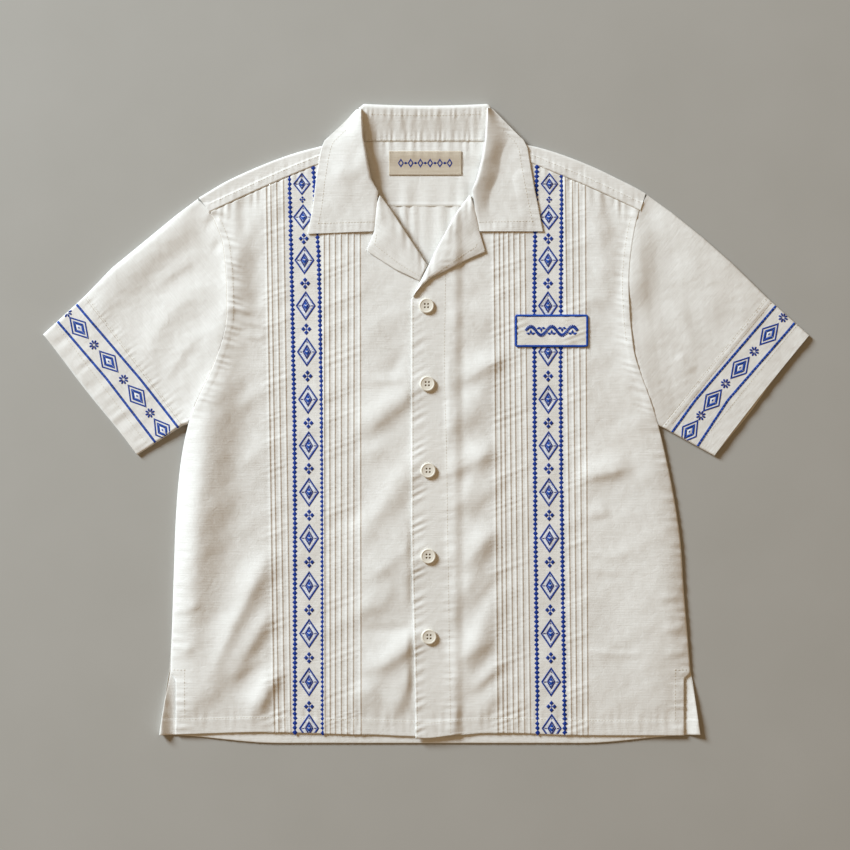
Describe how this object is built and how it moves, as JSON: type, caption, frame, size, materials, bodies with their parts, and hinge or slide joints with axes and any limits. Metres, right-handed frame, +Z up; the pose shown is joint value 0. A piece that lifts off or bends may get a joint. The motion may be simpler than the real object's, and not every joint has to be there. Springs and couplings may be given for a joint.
{
  "type": "guayabera shirt laid flat",
  "caption": "Ivory short-sleeved camp-collar guayabera with pintucks and blue diamond embroidery, buttoned and laid flat.",
  "frame": {"origin": "centre of the bounding box, on the surface that the shirt lies on", "axes": "+X to the viewer's right across the sleeves, +Y towards the collar, +Z up from the surface, out of the front"},
  "size_m": [0.8946, 0.7473, 0.016],
  "materials": {
    "ivory_cloth": "matte",
    "label_cloth": "matte",
    "patch_cloth": "matte",
    "button": "satin"
  },
  "bodies": {
    "root": {"back": "ivory_cloth", "yoke": "ivory_cloth", "front_left": "ivory_cloth", "front_right": "ivory_cloth", "lapel_left": "ivory_cloth", "lapel_right": "ivory_cloth", "collar": "ivory_cloth", "sleeve_left": "ivory_cloth", "sleeve_right": "ivory_cloth", "cuff_left": "ivory_cloth", "cuff_right": "ivory_cloth", "neck_label": "label_cloth", "chest_patch": "patch_cloth", "button_1": "button", "button_2": "button", "button_3": "button", "button_4": "button", "button_5": "button"}
  },
  "joints": []
}
